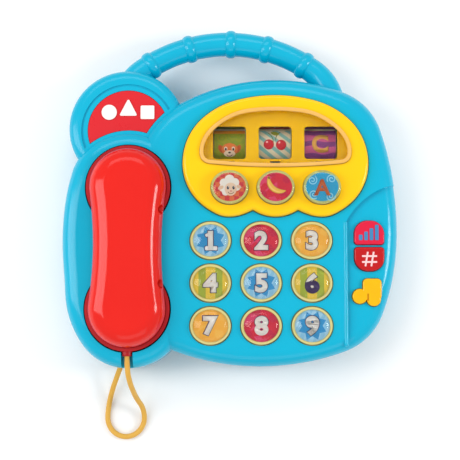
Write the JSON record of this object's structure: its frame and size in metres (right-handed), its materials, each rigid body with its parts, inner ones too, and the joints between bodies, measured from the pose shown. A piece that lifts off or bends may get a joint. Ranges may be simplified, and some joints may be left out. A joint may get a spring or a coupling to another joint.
{
  "type": "toy telephone",
  "caption": "Toy desk telephone lying flat: handset in a cradle on a short tether, carry handle, number keys, and picture buttons that turn rollers behind a clear lens.",
  "frame": {"origin": "middle of the footprint, on the surface the toy lies on", "axes": "+Z out of the face, +Y towards the carry handle, +X to the right as the face is read"},
  "size_m": [0.22, 0.2743, 0.058],
  "materials": {
    "badge_red": "printed insert",
    "blue_shell": "moulded gloss",
    "board_green": "circuit board laminate",
    "cell_wrap": "battery sleeve",
    "clear_dome": "clear moulded plastic",
    "clear_lens": "clear moulded plastic",
    "cord_ochre": "soft moulded cord",
    "cream_key": "moulded gloss",
    "dark_red": "moulded satin",
    "frame_plastic": "inner moulding",
    "grey_rubber": "silicone sheet",
    "hash_red": "moulded gloss",
    "note_yellow": "moulded satin",
    "red_shell": "moulded gloss",
    "roller_white": "printed sleeve",
    "signal_red": "moulded gloss",
    "speaker_black": "speaker frame and cone",
    "steel": "plated wire and screws",
    "switch_black": "slider",
    "white_print": "raised print",
    "yellow_panel": "moulded gloss"
  },
  "bodies": {
    "housing": {"upper_housing": "blue_shell", "lower_housing": "blue_shell", "handle_front_half": "blue_shell", "handle_rear_half": "blue_shell", "display_panel": "yellow_panel", "display_lens": "clear_lens", "roller_axle": "steel", "axle_posts": "frame_plastic", "badge_insert": "badge_red", "badge_emblem": "white_print", "circuit_board": "board_green", "keypad_membrane": "grey_rubber", "speaker": "speaker_black", "batteries": "cell_wrap", "battery_contacts": "steel", "case_screws": "steel", "tether_cord": "cord_ochre", "cord_anchor": "cord_ochre", "button_spring_left": "steel", "button_spring_middle": "steel", "button_spring_right": "steel"},
    "handset": {"handset_left_half": "red_shell", "handset_right_half": "red_shell", "handset_ear_cup": "dark_red", "handset_mouth_cup": "dark_red", "handset_screws": "steel", "cord_collar": "dark_red"},
    "signal_key": {"signal_button": "signal_red"},
    "hash_key": {"hash_button": "hash_red"},
    "note_key": {"note_button": "note_yellow"},
    "battery_cover": {"battery_door": "blue_shell", "door_screw": "steel"},
    "power_slider": {"power_switch": "switch_black"},
    "picture_key_left": {"picture_button_left": "cream_key", "picture_cap_left": "clear_dome"},
    "roller_left": {"picture_roller_left": "roller_white"},
    "picture_key_middle": {"picture_button_middle": "cream_key", "picture_cap_middle": "clear_dome"},
    "roller_middle": {"picture_roller_middle": "roller_white"},
    "picture_key_right": {"picture_button_right": "cream_key", "picture_cap_right": "clear_dome"},
    "roller_right": {"picture_roller_right": "roller_white"},
    "number_key_body_1": {"number_key_1": "cream_key", "key_dome_1": "clear_dome"},
    "number_key_body_2": {"number_key_2": "cream_key", "key_dome_2": "clear_dome"},
    "number_key_body_3": {"number_key_3": "cream_key", "key_dome_3": "clear_dome"},
    "number_key_body_4": {"number_key_4": "cream_key", "key_dome_4": "clear_dome"},
    "number_key_body_5": {"number_key_5": "cream_key", "key_dome_5": "clear_dome"},
    "number_key_body_6": {"number_key_6": "cream_key", "key_dome_6": "clear_dome"},
    "number_key_body_7": {"number_key_7": "cream_key", "key_dome_7": "clear_dome"},
    "number_key_body_8": {"number_key_8": "cream_key", "key_dome_8": "clear_dome"},
    "number_key_body_9": {"number_key_9": "cream_key", "key_dome_9": "clear_dome"}
  },
  "joints": [
    {"name": "handset_lift", "type": "slide", "parent": "housing", "child": "handset", "axis": [0, 0, 1], "range_m": [0, 0.06]},
    {"name": "picture_left_press", "type": "slide", "parent": "housing", "child": "picture_key_left", "axis": [0, 0, -1], "range_m": [0, 0.00495], "stiffness_N_per_m": 250, "springref_m": -0.002, "deforming": ["button_spring_left"]},
    {"name": "roller_left_turn", "type": "hinge", "parent": "housing", "child": "roller_left", "pos_m": [-0.0003, 0.0338, 0.0205], "axis": [1, 0, 0], "range_deg": [0, 90]},
    {"name": "picture_middle_press", "type": "slide", "parent": "housing", "child": "picture_key_middle", "axis": [0, 0, -1], "range_m": [0, 0.00495], "stiffness_N_per_m": 250, "springref_m": -0.002, "deforming": ["button_spring_middle"]},
    {"name": "roller_middle_turn", "type": "hinge", "parent": "housing", "child": "roller_middle", "pos_m": [0.0296, 0.0338, 0.0205], "axis": [1, 0, 0], "range_deg": [0, 90]},
    {"name": "picture_right_press", "type": "slide", "parent": "housing", "child": "picture_key_right", "axis": [0, 0, -1], "range_m": [0, 0.00495], "stiffness_N_per_m": 250, "springref_m": -0.002, "deforming": ["button_spring_right"]},
    {"name": "roller_right_turn", "type": "hinge", "parent": "housing", "child": "roller_right", "pos_m": [0.0595, 0.0338, 0.0205], "axis": [1, 0, 0], "range_deg": [0, 90]},
    {"name": "number_1_press", "type": "slide", "parent": "housing", "child": "number_key_body_1", "axis": [0, 0, -1], "range_m": [0, 0.0016], "stiffness_N_per_m": 500, "springref_m": -0.001},
    {"name": "number_2_press", "type": "slide", "parent": "housing", "child": "number_key_body_2", "axis": [0, 0, -1], "range_m": [0, 0.0016], "stiffness_N_per_m": 500, "springref_m": -0.001},
    {"name": "number_3_press", "type": "slide", "parent": "housing", "child": "number_key_body_3", "axis": [0, 0, -1], "range_m": [0, 0.0016], "stiffness_N_per_m": 500, "springref_m": -0.001},
    {"name": "number_4_press", "type": "slide", "parent": "housing", "child": "number_key_body_4", "axis": [0, 0, -1], "range_m": [0, 0.0016], "stiffness_N_per_m": 500, "springref_m": -0.001},
    {"name": "number_5_press", "type": "slide", "parent": "housing", "child": "number_key_body_5", "axis": [0, 0, -1], "range_m": [0, 0.0016], "stiffness_N_per_m": 500, "springref_m": -0.001},
    {"name": "number_6_press", "type": "slide", "parent": "housing", "child": "number_key_body_6", "axis": [0, 0, -1], "range_m": [0, 0.0016], "stiffness_N_per_m": 500, "springref_m": -0.001},
    {"name": "number_7_press", "type": "slide", "parent": "housing", "child": "number_key_body_7", "axis": [0, 0, -1], "range_m": [0, 0.0016], "stiffness_N_per_m": 500, "springref_m": -0.001},
    {"name": "number_8_press", "type": "slide", "parent": "housing", "child": "number_key_body_8", "axis": [0, 0, -1], "range_m": [0, 0.0016], "stiffness_N_per_m": 500, "springref_m": -0.001},
    {"name": "number_9_press", "type": "slide", "parent": "housing", "child": "number_key_body_9", "axis": [0, 0, -1], "range_m": [0, 0.0016], "stiffness_N_per_m": 500, "springref_m": -0.001},
    {"name": "signal_press", "type": "slide", "parent": "housing", "child": "signal_key", "axis": [0, 0, -1], "range_m": [0, 0.0015], "stiffness_N_per_m": 500, "springref_m": -0.001},
    {"name": "hash_press", "type": "slide", "parent": "housing", "child": "hash_key", "axis": [0, 0, -1], "range_m": [0, 0.0015], "stiffness_N_per_m": 500, "springref_m": -0.001},
    {"name": "note_press", "type": "slide", "parent": "housing", "child": "note_key", "axis": [0, 0, -1], "range_m": [0, 0.0015], "stiffness_N_per_m": 500, "springref_m": -0.001},
    {"name": "battery_cover_off", "type": "slide", "parent": "housing", "child": "battery_cover", "axis": [0, 0, -1], "range_m": [0, 0.03]},
    {"name": "power_slide", "type": "slide", "parent": "housing", "child": "power_slider", "axis": [1, 0, 0], "range_m": [0, 0.005]}
  ],
  "couplings": [
    {"joint": "roller_left_turn", "follows": "picture_left_press", "rad_per_m": 317.3},
    {"joint": "roller_middle_turn", "follows": "picture_middle_press", "rad_per_m": 317.3},
    {"joint": "roller_right_turn", "follows": "picture_right_press", "rad_per_m": 317.3}
  ]
}
